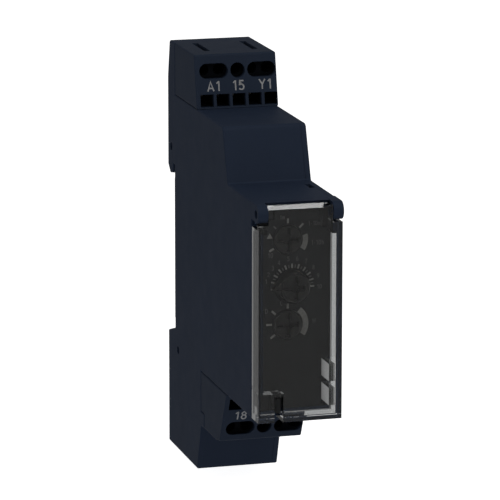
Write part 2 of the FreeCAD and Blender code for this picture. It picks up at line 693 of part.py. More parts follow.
node("faceplate", build_faceplate())
for knob, turned, across, up, _ in CONTROLS:
    if knob == "time_dial":
        node(knob, build_dial(knob, across, up))
    else:
        node(knob, build_selector(knob, across, up))
    node(turned, build_switch(turned, across, up))
for guide, lamp, up in GUIDES:
    head = block(guide + "_head", (guide_left, guide_right), (panel_front + 0.1, guide_front),
                 (up - guide_tall / 2, up + guide_tall / 2))
    stem = block(guide + "_stem", (guide_left, split - 0.25), (62, panel_front + 0.2),
                 (up - guide_tall / 2, up + guide_tall / 2))
    node(guide, fuse(guide + "_part", [head, stem]))
    bulb = block(lamp + "_body", (5.2, 7.2), (front_board_at + board_sheet + seam, 60.6),
                 (up - 0.9, up + 0.9))
    lens = rod(lamp + "_lens", "forward", 6.2, 60.5, up, 0.75, 0.8)
    node(lamp, fuse(lamp + "_part", [bulb, lens]))


# ---- Clear cover -----------------------------------------------------------------------

def build_clear_cover():
    """A flap with a front, sides and floor that swings on two arms; a notch clears the sealing tab."""
    skirt = half - skirt_inset
    inner = skirt - cover_side
    rear = panel_front + seam
    back_face = depth - cover_skin
    side_top = cover_top - cover_skin
    front = block("cover_front", (-skirt, skirt), (back_face, depth), (front_low, cover_top))
    sides = [block("cover_side%d" % n, x, (rear, depth), (front_low, side_top))
             for n, x in enumerate(((-skirt, -inner), (inner, skirt)))]
    floor_wall = block("cover_floor", (-skirt, skirt), (rear, depth), (front_low, front_low + cover_skin))
    lug_half = half - ear_width - gap
    crest = profile("cover_crest", [
        (back_face, side_top), (depth, side_top), (depth, crest_up - crest_bevel),
        (depth - crest_bevel, crest_up), (back_face, crest_up),
    ], (-lug_half, right_arm_left + gap), [(0.2, [2, 3])])
    arms = [
        block("cover_arm_left", (-lug_half, left_arm_right), (arm_rear, depth - 0.5), (64.4, arm_top)),
        block("cover_arm_right", (right_arm_left, lug_half), (arm_rear, depth), (side_top, arm_top)),
    ]
    gusset = padded_outline("cover_gusset", "XZ_Plane", -y_of(arm_rear), [
        (right_arm_left, z_of(arm_top)), (right_arm_left, z_of(gusset_high)),
        (gusset_left, z_of(gusset_low)), (skirt, z_of(gusset_low)), (skirt, z_of(cover_top)),
        (lug_half, z_of(cover_top)), (lug_half, z_of(arm_top)),
    ], depth - 0.5 - arm_rear)
    corners = [
        block("cover_corner_right", (gusset_left, skirt), (rear, depth - 0.5), (gusset_low, cover_top)),
        block("cover_corner_left", (-skirt, -gusset_left), (rear, depth - 0.5),
              (gusset_low + 0.4, side_top)),
    ]
    peg_length = ear_width * 0.65
    pegs = [rod("cover_peg%d" % n, "x", x, hinge_forward, hinge_up, peg_radius, peg_length + gap)
            for n, x in enumerate((-lug_half - peg_length, lug_half - gap))]
    notch_left, notch_right = tab_across - notch_wide / 2, tab_across + notch_wide / 2
    boss = block("cover_boss", (-skirt, notch_right + 0.45), (boss_rear, depth - 0.2),
                 (front_low, boss_high))
    pieces = [front, floor_wall, crest, gusset, boss] + sides + arms + corners + pegs
    whole = fuse("cover_whole", pieces)
    notch = block("cover_notch", (notch_left, notch_right), (panel_front - 1, depth + 1),
                  (front_low - 1, tab_top + 0.3))
    return cut("cover_part", whole, [notch])


node("clear_cover", build_clear_cover())


# ---- Rail latch --------------------------------------------------------------------------

def build_rail_latch():
    body = block("latch_body", (-4.2, 4.2), (1.3, 4.3), (0.6, 26.4))
    spine = block("latch_spine", (-3.2, 3.2), (0.15, 1.4), (0.6, 25.0))
    nose = profile("latch_nose", [(0.2, 24.9), (4.3, 26.2), (4.3, 28.9), (3.4, 28.9), (0.2, 26.0)],
                   (-3.2, 3.2))
    whole = fuse("latch_whole", [body, spine, nose])
    tools = [
        block("latch_spring_room", (-1.5, 1.5), (-1, 5), (3.0, 17.0)),
        block("latch_tool_slot", (-2.4, 2.4), (-1, 2.6), (1.2, 2.4)),
    ]
    return cut("latch_part", whole, tools)


def build_latch_spring():
    """A compression spring that stands on the housing's anchor inside the latch."""
    coil = doc.addObject("Part::Helix", "latch_spring_line")
    bind(coil, "Pitch", spring_pitch)
    bind(coil, "Height", spring_tall)
    bind(coil, "Radius", spring_radius)
    place(coil, 0, y_of(spring_at), z_of(spring_foot))
    wire = doc.addObject("Part::Circle", "latch_spring_wire")
    bind(wire, "Radius", spring_wire)
    wire.Placement = FreeCAD.Placement(FreeCAD.Vector(0, 0, 0), TURNS["forward"])
    place(wire, spring_radius, y_of(spring_at), z_of(spring_foot))
    sweep = doc.addObject("Part::Sweep", "latch_spring_sweep")
    sweep.Sections = [wire]
    sweep.Spine = (coil, ["Edge1"])
    sweep.Solid = True
    sweep.Frenet = True
    return sweep


node("rail_latch", build_rail_latch())
node("latch_spring", build_latch_spring())


# ---- Boards and components -----------------------------------------------------------------

def build_main_board():
    return profile("main_board_plate", [
        (8.5, 26), (8.5, 74.5), (40.5, 74.5), (45, 64.5), (56.5, 64.5), (56.5, 26),
    ], (main_board_at, main_board_at + board_sheet))


node("main_board", build_main_board())
node("front_board", block("front_board_plate", (-7.2, 7.2), (front_board_at, front_board_at + board_sheet),
                          (25.2, 63.5)))

pins = [block("connector_pin%d" % n, (board_face + 0.5, board_face + 1.05),
              (50.5, front_board_at - seam), (30 + 2.54 * n, 30.5 + 2.54 * n)) for n in range(8)]
strip = block("connector_strip", (board_face, board_face + 2.15), (52, 54.5), (29, 49.2))
node("board_connector", fuse("connector_part", [strip] + pins))


def build_relay():
    """A small changeover relay lying on the main board."""
    base_left = board_face
    base_right = base_left + 1.4
    case_right = 5.6
    shell = 0.6
    node("relay_base", block("relay_base_plate", (base_left, base_right), (relay_rear, relay_front),
                             (relay_low, relay_high)))
    outer = block("relay_case_outer", (base_right + seam, case_right), (relay_rear, relay_front),
                  (relay_low, relay_high))
    inner = block("relay_case_inner", (base_right - 1, case_right - shell),
                  (relay_rear + shell, relay_front - shell), (relay_low + shell, relay_high - shell))
    node("relay_case", cut("relay_case_part", outer, [inner]))
    axis_x, axis_forward = 0.4, 19.5
    bobbin = [rod("relay_coil_winding", "up", axis_x, axis_forward, 44.2, 3.6, 12.2)]
    for n, up in enumerate((43.2, 56.3)):
        bobbin.append(block("relay_coil_flange%d" % n, (axis_x - 3.9, axis_x + 3.9),
                            (axis_forward - 4, axis_forward + 4), (up, up + 1)))
    node("relay_coil", cut("relay_coil_part", fuse("relay_coil_whole", bobbin),
                           [rod("relay_coil_bore", "up", axis_x, axis_forward, 42, 1.3, 20)]))
    core = rod("relay_core_rod", "up", axis_x, axis_forward, 42.5, 1.2, 15.7)
    head = rod("relay_core_head", "up", axis_x, axis_forward, 57.5, 2.6, 0.8)
    foot = block("relay_yoke_foot", (-2.4, 3.2), (17, 25.4), (41.6, 42.8))
    wall_plate = block("relay_yoke_wall", (-2.4, 3.2), (24.2, 25.4), (41.6, 58.7))
    node("relay_core", fuse("relay_core_part", [core, head, foot, wall_plate]))
    plate = block("relay_armature_plate", (-2.4, 3.2), (14.6, 25.4), (59.0, 60.0))
    node("relay_armature", plate)
    blade = block("relay_blade", (-0.6, 1.4), (14.2, 14.5), (59.0, 66.6))
    tip = rod("relay_blade_tip", "forward", axis_x, 14.0, 66, 0.6, 0.7)
    node("relay_moving_contact", fuse("relay_moving_part", [blade, tip]))
    posts = []
    for n, (rear, face) in enumerate(((12.2, 12.6), (15.1, 14.9))):
        posts.append(block("relay_post%d" % n, (base_right + 0.2, 1.4), (rear, rear + 0.4), (64.6, 67.4)))
        posts.append(rod("relay_post_tip%d" % n, "forward", axis_x, min(rear, face), 66, 0.6, 0.6))
    node("relay_fixed_contacts", fuse("relay_fixed_part", posts))


build_relay()


def upright_can(name, x, forward, low, radius, tall):
    """An electrolytic capacitor with the groove round its foot."""
    can = rod(name + "_can", "up", x, forward, low, radius, tall)
    ring = doc.addObject("Part::Torus", name + "_groove")
    ring.Radius1 = radius + 0.1
    ring.Radius2 = 0.35
    place(ring, x, y_of(forward), z_of(low + 1.4))
    leads = [block("%s_lead%d" % (name, n), (board_face, x), (forward + at, forward + at + 0.5),
                   (low - 0.9, low - 0.4)) for n, at in enumerate((-1.5, 1.0))]
    stubs = [block("%s_stub%d" % (name, n), (x - 0.5, x), (forward + at, forward + at + 0.5),
                   (low - 0.9, low + 0.1)) for n, at in enumerate((-1.5, 1.0))]
    return fuse(name + "_part", [cut(name + "_body", can, [ring])] + leads + stubs)


def boxed_part(name, x_high, forward, up, legs):
    """A component body that stands off the main board on two legs."""
    body = block(name + "_body", (board_face + 0.4, x_high), forward, up)
    feet = [block("%s_leg%d" % (name, n), (board_face, board_face + 0.6), (at, at + 0.6),
                  (up[0] + 1, up[0] + 1.6)) for n, at in enumerate(legs)]
    return fuse(name + "_part", [body] + feet)


node("storage_capacitor", upright_can("storage_capacitor", -1.0, 36.0, 42.0, 4.0, 12.0))
node("dropper_capacitor", boxed_part("dropper_capacitor", 4.2, (31.0, 44.0), (28.0, 38.5), (33, 41.4)))
disc = rod("varistor_disc", "x", -2.2, 14.8, 33.0, 3.6, 2.6)
varistor_legs = [block("varistor_leg%d" % n, (board_face, -2.0), (at, at + 0.5), (32.0, 32.5))
                 for n, at in enumerate((12.4, 16.6))]
node("varistor", fuse("varistor_part", [disc] + varistor_legs))
resistor = rod("fuse_resistor_body", "up", -3.6, 48.5, 53.0, 1.5, 8.0)
resistor_legs = [block("fuse_resistor_leg%d" % n, (board_face, -3.4), (48.2, 48.8), (up, up + 0.6))
                 for n, up in enumerate((52.0, 61.4))]
resistor_ends = [rod("fuse_resistor_end%d" % n, "up", -3.6, 48.5, up, 0.35, 1.2)
                 for n, up in enumerate((52.0, 60.8))]
node("fuse_resistor", fuse("fuse_resistor_part", [resistor] + resistor_legs + resistor_ends))


def chip(name, x, forward, up, thick, lead_count):
    """A flat package with gull-wing leads along its two upright sides."""
    body = block(name + "_package", (x + 0.15, x + 0.15 + thick), forward, up)
    pieces = [body]
    pitch = (up[1] - up[0]) / lead_count
    for n in range(lead_count):
        low = up[0] + pitch * (n + 0.3)
        for side, limits in enumerate(((forward[0] - 0.7, forward[0] + 0.1),
                                       (forward[1] - 0.1, forward[1] + 0.7))):
            pieces.append(block("%s_lead%d_%d" % (name, side, n), (x, x + 0.3), limits,
                                (low, low + pitch * 0.4)))
    return fuse(name + "_part", pieces)


node("microcontroller", chip("microcontroller", board_face, (35.0, 40.0), (61.0, 71.0), 1.5, 7))
node("rectifier", chip("rectifier", board_face, (43.5, 47.5), (41.0, 45.6), 1.4, 2))


# ---- Check and write -------------------------------------------------------------------------

doc.recompute()
for thing in doc.Objects:
    if "Invalid" in thing.State or "Error" in thing.State:
        raise RuntimeError("failed object: " + thing.Name)
os.makedirs("parts", exist_ok=True)
for thing in nodes:
    shape = thing.Shape
    if shape.isNull() or not shape.isValid() or shape.Volume <= 0:
        raise RuntimeError("bad shape: " + thing.Label)
    shape.exportStep("parts/%s.step" % thing.Label)
    print("%-24s %2d solid(s) %9.2f mm3" % (thing.Label, len(shape.Solids), shape.Volume))
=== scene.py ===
import math

import bmesh
import bpy
from mathutils import Matrix, Vector


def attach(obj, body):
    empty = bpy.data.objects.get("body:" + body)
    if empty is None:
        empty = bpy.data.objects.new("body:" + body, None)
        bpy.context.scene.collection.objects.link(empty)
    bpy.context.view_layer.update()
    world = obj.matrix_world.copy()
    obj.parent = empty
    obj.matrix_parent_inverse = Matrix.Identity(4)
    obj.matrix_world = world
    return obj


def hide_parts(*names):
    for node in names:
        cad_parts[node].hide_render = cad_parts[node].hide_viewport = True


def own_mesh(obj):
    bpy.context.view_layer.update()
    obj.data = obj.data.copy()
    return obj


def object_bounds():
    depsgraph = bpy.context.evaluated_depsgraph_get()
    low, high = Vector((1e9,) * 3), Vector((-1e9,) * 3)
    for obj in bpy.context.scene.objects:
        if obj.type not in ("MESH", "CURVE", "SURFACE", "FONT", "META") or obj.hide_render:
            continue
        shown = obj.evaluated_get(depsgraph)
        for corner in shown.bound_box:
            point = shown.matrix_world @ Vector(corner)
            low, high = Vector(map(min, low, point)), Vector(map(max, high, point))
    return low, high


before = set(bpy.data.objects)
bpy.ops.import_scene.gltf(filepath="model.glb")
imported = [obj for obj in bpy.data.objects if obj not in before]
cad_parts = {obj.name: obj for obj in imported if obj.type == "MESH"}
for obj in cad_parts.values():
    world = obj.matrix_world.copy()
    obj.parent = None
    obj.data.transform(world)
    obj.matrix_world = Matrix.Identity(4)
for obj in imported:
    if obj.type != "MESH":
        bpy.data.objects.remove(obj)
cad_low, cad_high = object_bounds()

# The part's own sizes, in millimetres: across, forward of the rear face, up from the bottom face.
MM = 0.001
RAIL_SEAT = 5.5
HALF_HEIGHT = 45.0
PANEL_FRONT = 67.0


def spot(across, forward, up):
    """A point in the row frame, in metres."""
    return Vector((across, RAIL_SEAT - forward, up - HALF_HEIGHT)) * MM


# ---- Materials ------------------------------------------------------------------------------

def new_material(name):
    """An empty material with its output and its shader, its node tree and that shader."""
    made = bpy.data.materials.new(name)
    made.use_nodes = True
    tree = made.node_tree
    tree.nodes.clear()
    output = tree.nodes.new("ShaderNodeOutputMaterial")
    shader = tree.nodes.new("ShaderNodeBsdfPrincipled")
    tree.links.new(shader.outputs["BSDF"], output.inputs["Surface"])
    return made, tree, shader


def noise(tree, size_mm, detail=3.0, roughness=0.55, stretch=(1, 1, 1)):
    """Solid noise fixed to the object, with features of about the given size."""
    place = tree.nodes.new("ShaderNodeTexCoord")
    scale = tree.nodes.new("ShaderNodeMapping")
    scale.inputs["Scale"].default_value = stretch
    tree.links.new(place.outputs["Object"], scale.inputs["Vector"])
    grain = tree.nodes.new("ShaderNodeTexNoise")
    grain.inputs["Scale"].default_value = 1.0 / (size_mm * MM)
    grain.inputs["Detail"].default_value = detail
    grain.inputs["Roughness"].default_value = roughness
    tree.links.new(scale.outputs["Vector"], grain.inputs["Vector"])
    return grain.outputs["Fac"]


def ranged(tree, value, low, high, from_low=0.3, from_high=0.7):
    """Maps a value's middle range to low..high."""
    node = tree.nodes.new("ShaderNodeMapRange")
    node.inputs["From Min"].default_value = from_low
    node.inputs["From Max"].default_value = from_high
    node.inputs["To Min"].default_value = low
    node.inputs["To Max"].default_value = high
    tree.links.new(value, node.inputs["Value"])
    return node.outputs["Result"]


def mixed(tree, share, first, second):
    """A colour between two others; each is a socket or three numbers."""
    node = tree.nodes.new("ShaderNodeMix")
    node.data_type = "RGBA"
    tree.links.new(share, node.inputs[0])
    for slot, colour in ((6, first), (7, second)):
        if isinstance(colour, bpy.types.NodeSocket):
            tree.links.new(colour, node.inputs[slot])
        else:
            node.inputs[slot].default_value = (*colour, 1.0)
    return node.outputs[2]


def math_node(tree, operation, *values):
    """The result of a math node; each value is a socket or a number."""
    node = tree.nodes.new("ShaderNodeMath")
    node.operation = operation
    for entry, value in zip(node.inputs, values):
        if isinstance(value, bpy.types.NodeSocket):
            tree.links.new(value, entry)
        else:
            entry.default_value = value
    return node.outputs[0]


# Millimetres: the radius over which an edge is lightened, partly as rub wear and partly as a painted
# highlight, and the depths in a hole where its painted shade starts and ends.
WORN_HIGHLIT_EDGE = 0.12
HOLE_SHADE_START, HOLE_SHADE_END = 0.3, 1.6
# How far a soft normal agrees with the face's own on an edge and beside it.
EDGE_TURN, FLAT_TURN = 0.80, 0.995


def edges(tree, radius_mm):
    """A mask that is 1 along sharp edges, and the softened normal there."""
    bevel = tree.nodes.new("ShaderNodeBevel")
    bevel.samples = 4
    bevel.inputs["Radius"].default_value = radius_mm * MM
    face = tree.nodes.new("ShaderNodeNewGeometry")
    dot = tree.nodes.new("ShaderNodeVectorMath")
    dot.operation = "DOT_PRODUCT"
    tree.links.new(bevel.outputs["Normal"], dot.inputs[0])
    tree.links.new(face.outputs["Normal"], dot.inputs[1])
    rim = ranged(tree, dot.outputs["Value"], 1.0, 0.0, EDGE_TURN, FLAT_TURN)
    return rim, bevel.outputs["Normal"]


def bumped(tree, shader, height, depth_mm, strength, normal=None):
    """Fine relief from a height value, over an optional softened normal."""
    bump = tree.nodes.new("ShaderNodeBump")
    bump.inputs["Strength"].default_value = strength
    bump.inputs["Distance"].default_value = depth_mm * MM
    tree.links.new(height, bump.inputs["Height"])
    if normal is not None:
        tree.links.new(normal, bump.inputs["Normal"])
    tree.links.new(bump.outputs["Normal"], shader.inputs["Normal"])


def pit(tree, bottom, top, sides, roof):
    """A mask for painted shade in the terminal holes: 0 at a sloped terminal face and its block's outside,
    and 1 deep in its holes, where the colour is darkened to stand for the shade inside them.

    bottom and top are (forward, up) corners of the face; sides and roof bound the holes across and up.
    """
    corner = spot(0, *bottom)
    along = (spot(0, *top) - corner).normalized()
    inward = along.cross(Vector((1, 0, 0)))
    place = tree.nodes.new("ShaderNodeTexCoord")
    offset = tree.nodes.new("ShaderNodeVectorMath")
    offset.operation = "SUBTRACT"
    offset.inputs[1].default_value = corner
    depth = tree.nodes.new("ShaderNodeVectorMath")
    depth.operation = "DOT_PRODUCT"
    depth.inputs[1].default_value = inward
    parts = tree.nodes.new("ShaderNodeSeparateXYZ")
    tree.links.new(place.outputs["Object"], offset.inputs[0])
    tree.links.new(offset.outputs["Vector"], depth.inputs[0])
    tree.links.new(offset.outputs["Vector"], parts.inputs["Vector"])
    deep = ranged(tree, depth.outputs["Value"], 0.0, 1.0, HOLE_SHADE_START * MM, HOLE_SHADE_END * MM)
    beside = math_node(tree, "GREATER_THAN", sides * MM, math_node(tree, "ABSOLUTE", parts.outputs["X"]))
    below = math_node(tree, "GREATER_THAN", (roof - bottom[1]) * MM, parts.outputs["Z"])
    return math_node(tree, "MULTIPLY", deep, math_node(tree, "MULTIPLY", beside, below))


def shade(colour, factor):
    """A lighter or darker colour."""
    return tuple(min(1.0, c * factor) for c in colour)


def plastic(name, colour, rough=0.5, specular=0.5, grain_mm=0.28, depth_mm=0.012, holes=None):
    """Moulded plastic: fine spark-eroded grain, faint flow marks and slightly rubbed edges, lightened partly
    as wear and partly as a painted highlight.

    holes says where a terminal face has holes that get painted shade, darker deeper in, in the form the
    painted hole-shade mask function takes.
    """
    made, tree, shader = new_material(name)
    flow = noise(tree, 9.0, 2.0, 0.5, (1.0, 1.0, 0.45))
    grain = noise(tree, grain_mm, 2.0, 0.6)
    body = mixed(tree, ranged(tree, flow, 0.0, 1.0), shade(colour, 0.96), shade(colour, 1.04))
    speck = mixed(tree, ranged(tree, grain, 0.0, 0.25), body, shade(colour, 1.25))
    rim, normal = edges(tree, WORN_HIGHLIT_EDGE)
    # Edges are lightened: partly rub wear, partly a painted highlight where light would catch them.
    rubbed_and_highlit = math_node(tree, "MULTIPLY", rim, ranged(tree, noise(tree, 2.2), 0.35, 1.0))
    speck = mixed(tree, rubbed_and_highlit, speck, shade(colour, 1.5))
    if holes:
        # Painted shade: deep in the terminal holes the colour is darkened to near black, standing for the
        # shade that falls there.
        speck = mixed(tree, pit(tree, *holes), speck, shade(colour, 0.15))
    tree.links.new(speck, shader.inputs["Base Color"])
    tree.links.new(ranged(tree, noise(tree, 4.0), rough - 0.02, rough + 0.03), shader.inputs["Roughness"])
    shader.inputs["Specular IOR Level"].default_value = specular
    bumped(tree, shader, grain, depth_mm, 0.6, normal)
    return made


def metal(name, colour, rough=0.3, stretch=(1, 1, 1), grain_mm=0.25):
    """Worked sheet or turned metal: brushed streaks and duller patches."""
    made, tree, shader = new_material(name)
    streak = noise(tree, grain_mm, 3.0, 0.6, stretch)
    patch = noise(tree, 3.0)
    tree.links.new(mixed(tree, ranged(tree, patch, 0.0, 1.0), shade(colour, 0.82), shade(colour, 1.08)),
                   shader.inputs["Base Color"])
    tree.links.new(ranged(tree, streak, rough - 0.08, rough + 0.12), shader.inputs["Roughness"])
    shader.inputs["Metallic"].default_value = 1.0
    bumped(tree, shader, streak, 0.006, 0.5)
    return made


FLANK_SLACK = 0.04     # millimetres a flank may lie from the place given
TURN_SLACK = 0.05      # how far a flank's normal may be from straight left or right


def flanks(tree, places):
    """A mask that is 1 on the faces that look left or right at the given places across."""
    place = tree.nodes.new("ShaderNodeTexCoord")
    face = tree.nodes.new("ShaderNodeNewGeometry")
    across, turn = [tree.nodes.new("ShaderNodeSeparateXYZ") for _ in range(2)]
    tree.links.new(place.outputs["Object"], across.inputs["Vector"])
    tree.links.new(face.outputs["True Normal"], turn.inputs["Vector"])
    near = [math_node(tree, "COMPARE", across.outputs["X"], x * MM, FLANK_SLACK * MM) for x in places]
    mask = near[0]
    for other in near[1:]:
        mask = math_node(tree, "MAXIMUM", mask, other)
    sideways = math_node(tree, "COMPARE", math_node(tree, "ABSOLUTE", turn.outputs["X"]), 1.0, TURN_SLACK)
    return math_node(tree, "MULTIPLY", mask, sideways)


def clear(name, colour, rough=0.02, ior=1.49, haze_mm=3.0, flank_frost_and_shade=None):
    """Clear moulded plastic with a faint ripple and fine handling marks.

    flank_frost_and_shade holds the places across of flanks that are recoloured, their colour and the strength
    of their painted glow: white spark-eroded frost on a light guide, a near-black painted shade on the cover.
    """
    made, tree, shader = new_material(name)
    shader.inputs["Base Color"].default_value = (*colour, 1.0)
    shader.inputs["Transmission Weight"].default_value = 1.0
    shader.inputs["IOR"].default_value = ior
    scuff = noise(tree, 0.5, 4.0, 0.7, (1.0, 1.0, 0.3))
    tree.links.new(ranged(tree, scuff, rough, rough + 0.02, 0.5, 0.8), shader.inputs["Roughness"])
    tint = mixed(tree, ranged(tree, noise(tree, haze_mm), 0.0, 1.0), shade(colour, 0.985), colour)
    if flank_frost_and_shade:
        # The flanks' colour: white frost on the light guides, a near-black painted shade on the cover.
        places, flank_colour, glow = flank_frost_and_shade
        mask = flanks(tree, places)
        tint = mixed(tree, mask, tint, flank_colour)
        tree.links.new(ranged(tree, mask, 1.0, 0.1, 0.0, 1.0), shader.inputs["Transmission Weight"])
        # Painted light: the flanks are given emission, a glow that stands for light falling on them.
        if glow:
            tree.links.new(ranged(tree, mask, 0.0, glow, 0.0, 1.0), shader.inputs["Emission Strength"])
    tree.links.new(tint, shader.inputs["Base Color"])
    bumped(tree, shader, noise(tree, 9.0, 1.0, 0.4), 0.002, 0.1)
    return made


def ink(name, colour):
    """Pad-printed ink: thin, slightly uneven and a little worn."""
    made, tree, shader = new_material(name)
    patch = noise(tree, 0.35, 3.0, 0.7)
    tree.links.new(mixed(tree, ranged(tree, patch, 0.0, 1.0, 0.25, 0.6), shade(colour, 0.7), colour),
                   shader.inputs["Base Color"])
    tree.links.new(ranged(tree, noise(tree, 1.0), 0.45, 0.65), shader.inputs["Roughness"])
    shader.inputs["Specular IOR Level"].default_value = 0.2
    bumped(tree, shader, patch, 0.004, 0.4)
    return made


# The sloped terminal faces: (forward, up) at their bottom and top edges.
UPPER_FACE = ((24.8, 78.75), (22.3, 90.0))
LOWER_FACE = ((42.7, 11.1), (48.3, 22.45))
GUIDE_LEFT = 6.3       # the light guides' left faces, across; frosted white, with a painted glow
COVER_SHADED_FLANKS = [4.8, 6.8]       # faces of the cover's right arm and corner that look inward, across; painted near black as painted shade
# The bounds of the painted shade in the terminal holes, across and up.
HOLE_SIDES = 8.87      # how far from the middle the terminal blocks' holes reach
UPPER_HOLE_ROOF = 88.9          # how high each block's holes reach
LOWER_HOLE_ROOF = 22.3
HOUSING_COLOUR = (0.022, 0.033, 0.060)
TERMINAL_COLOUR = (0.022, 0.0325, 0.057)
LOOKS = {
    "housing": plastic("navy_plastic", HOUSING_COLOUR, rough=0.55, specular=0.06),
    "upper_terminal": plastic("upper_terminal_plastic", TERMINAL_COLOUR, rough=0.55, specular=0.06,
                              holes=(*UPPER_FACE, HOLE_SIDES, UPPER_HOLE_ROOF)),
    "lower_terminal": plastic("lower_terminal_plastic", TERMINAL_COLOUR, rough=0.55, specular=0.06,
                              holes=(*LOWER_FACE, HOLE_SIDES, LOWER_HOLE_ROOF)),
    "faceplate": plastic("panel_plastic", (0.0150, 0.0160, 0.0178), rough=0.5, specular=0.2,
                         grain_mm=0.2, depth_mm=0.003),
    "knob": plastic("knob_plastic", (0.0125, 0.0122, 0.0115), rough=0.42, specular=0.3,
                    grain_mm=0.2, depth_mm=0.003),
    "latch": plastic("latch_plastic", (0.0130, 0.0150, 0.0210), specular=0.3),
    # The cover's inward flanks are painted near black, a painted shade standing for the dark seen there.
    "cover": clear("cover_plastic", (0.95, 0.96, 0.96), rough=0.0,
                   flank_frost_and_shade=(COVER_SHADED_FLANKS, (0.05, 0.052, 0.055), 0.0)),
    # The light guides' left flanks are frosted white and given a painted glow of 0.12.
    "guide": clear("guide_plastic", (0.97, 0.98, 0.98), rough=0.05, ior=1.58,
                   flank_frost_and_shade=([GUIDE_LEFT], (0.92, 0.93, 0.94), 0.12)),
    "led": clear("led_epoxy", (0.75, 0.95, 0.75), rough=0.10, ior=1.52, haze_mm=0.8),
    "clamp": metal("spring_steel", (0.62, 0.61, 0.59), rough=0.28, stretch=(1.0, 0.15, 0.15)),
    "bar": metal("tinned_copper", (0.78, 0.76, 0.73), rough=0.33, stretch=(1.0, 0.2, 0.2)),
    "spring": metal("music_wire", (0.60, 0.60, 0.60), rough=0.25),
    "iron": metal("relay_iron", (0.56, 0.55, 0.53), rough=0.38),
    "contact": metal("contact_silver", (0.86, 0.80, 0.66)),
    "coil": metal("enamelled_copper", (0.62, 0.26, 0.10), rough=0.32, stretch=(1.0, 1.0, 6.0), grain_mm=0.4),
    "board": plastic("circuit_board", (0.02, 0.115, 0.045), rough=0.35, grain_mm=0.35, depth_mm=0.01),
    "relay": plastic("relay_plastic", (0.045, 0.12, 0.26), rough=0.3),
    "component": plastic("component_plastic", (0.32, 0.31, 0.27), rough=0.4),
    "film": plastic("film_capacitor", (0.30, 0.045, 0.025), rough=0.3),
    "can": plastic("capacitor_sleeve", (0.02, 0.03, 0.09), rough=0.25),
    "chip": plastic("chip_resin", (0.012, 0.012, 0.013), rough=0.45, specular=0.4,
                    grain_mm=0.12, depth_mm=0.01),
    "varistor": plastic("varistor_coat", (0.03, 0.13, 0.42), rough=0.3),
    "resistor": plastic("resistor_coat", (0.30, 0.42, 0.36), rough=0.4),
}

NODE_LOOKS = {
    "main_housing": "housing", "side_cover": "housing",
    "upper_terminal_block": "upper_terminal", "lower_terminal_block": "lower_terminal",
    "faceplate": "faceplate", "range_selector": "knob", "time_dial": "knob",
    "function_selector": "knob", "range_switch": "component", "time_potentiometer": "component",
    "function_switch": "component", "supply_light_guide": "guide", "output_light_guide": "guide",
    "supply_led": "led", "output_led": "led", "clear_cover": "cover", "rail_latch": "latch",
    "latch_spring": "spring", "main_board": "board", "front_board": "board",
    "board_connector": "component", "relay_base": "relay", "relay_case": "relay",
    "relay_coil": "coil", "relay_core": "iron", "relay_armature": "iron",
    "relay_moving_contact": "contact", "relay_fixed_contacts": "contact",
    "storage_capacitor": "can", "dropper_capacitor": "film", "varistor": "varistor",
    "fuse_resistor": "resistor", "microcontroller": "chip", "rectifier": "chip",
}


def look_of(name):
    """The material of a CAD node."""
    if name.startswith("clamp_"):
        return LOOKS["clamp"]
    if name.startswith("contact_bar_"):
        return LOOKS["bar"]
    return LOOKS[NODE_LOOKS[name]]


for name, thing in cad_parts.items():
    look = look_of(name)
    if not thing.material_slots:
        thing.data.materials.append(look)
    for entry in thing.material_slots:
        entry.material = look


# ---- Printed marks --------------------------------------------------------------------------

MARK_INK = ink("mark_ink", (0.26, 0.26, 0.25))
FAINT_INK = ink("faint_ink", (0.13, 0.13, 0.13))
LABEL_INK = ink("label_ink", (0.42, 0.43, 0.45))
INK_GAP = 0.008       # millimetres between a surface and the ink's rear, so that they don't share a plane
INK_THICK = 0.02
ARC_STEPS = 18


def finish_piece(mesh, name, look):
    """A piece on the body base, with its material."""
    piece = bpy.data.objects.new(name, mesh)
    bpy.context.scene.collection.objects.link(piece)
    piece.data.materials.append(look)
    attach(piece, "base")
    return piece


# The foot's spring shortens as the foot slides, so a copy stands for the rigid node.
coil_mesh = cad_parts["latch_spring"].data.copy()
coil_mesh.materials.clear()
coil = finish_piece(coil_mesh, "latch_spring_coil", LOOKS["spring"])
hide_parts("latch_spring")
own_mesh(coil)


def raised(name, outlines, place, look):
    """Closed flat shapes as one thin solid.

    place turns a point and its height above the surface into a spot.
    """
    form = bmesh.new()
    for outline in outlines:
        rear, front = [[form.verts.new(place(a, b, height)) for a, b in outline]
                       for height in (INK_GAP, INK_GAP + INK_THICK)]
        form.faces.new(front)
        form.faces.new(list(reversed(rear)))
        for n in range(len(outline)):
            m = (n + 1) % len(outline)
            form.faces.new((rear[n], rear[m], front[m], front[n]))
    bmesh.ops.recalc_face_normals(form, faces=form.faces)
    mesh = bpy.data.meshes.new(name)
    form.to_mesh(mesh)
    form.free()
    return finish_piece(mesh, name, look)


def printed(name, outlines, look):
    """Marks on the faceplate; each outline holds (across, up) points."""
    return raised(name, outlines, lambda a, b, height: spot(a, PANEL_FRONT + height, b), look)


def around(centre, radius, degrees):
    """The point at a radius and an angle from a centre."""
    turn = math.radians(degrees)
    return centre[0] + radius * math.cos(turn), centre[1] + radius * math.sin(turn)


def tick(centre, degrees, inner, outer, wide):
    """A short radial bar."""
    turn = math.radians(degrees)
    side = (-math.sin(turn) * wide / 2, math.cos(turn) * wide / 2)
    near, far = around(centre, inner, degrees), around(centre, outer, degrees)
    return [(near[0] - side[0], near[1] - side[1]), (far[0] - side[0], far[1] - side[1]),
            (far[0] + side[0], far[1] + side[1]), (near[0] + side[0], near[1] + side[1])]


def arc(centre, start, end, inner, outer):
    """A thick arc from one angle to another."""
    angles = [start + (end - start) * n / ARC_STEPS for n in range(ARC_STEPS + 1)]
    outside = [around(centre, outer, degrees) for degrees in angles]
    inside = [around(centre, inner, degrees) for degrees in angles]
    return outside + inside[::-1]


# The three controls' centres, (across, up).
RANGE_CENTRE = (-1.35, 59.3)
DIAL_CENTRE = (-0.35, 49.7)
FUNCTION_CENTRE = (-1.35, 41.7)

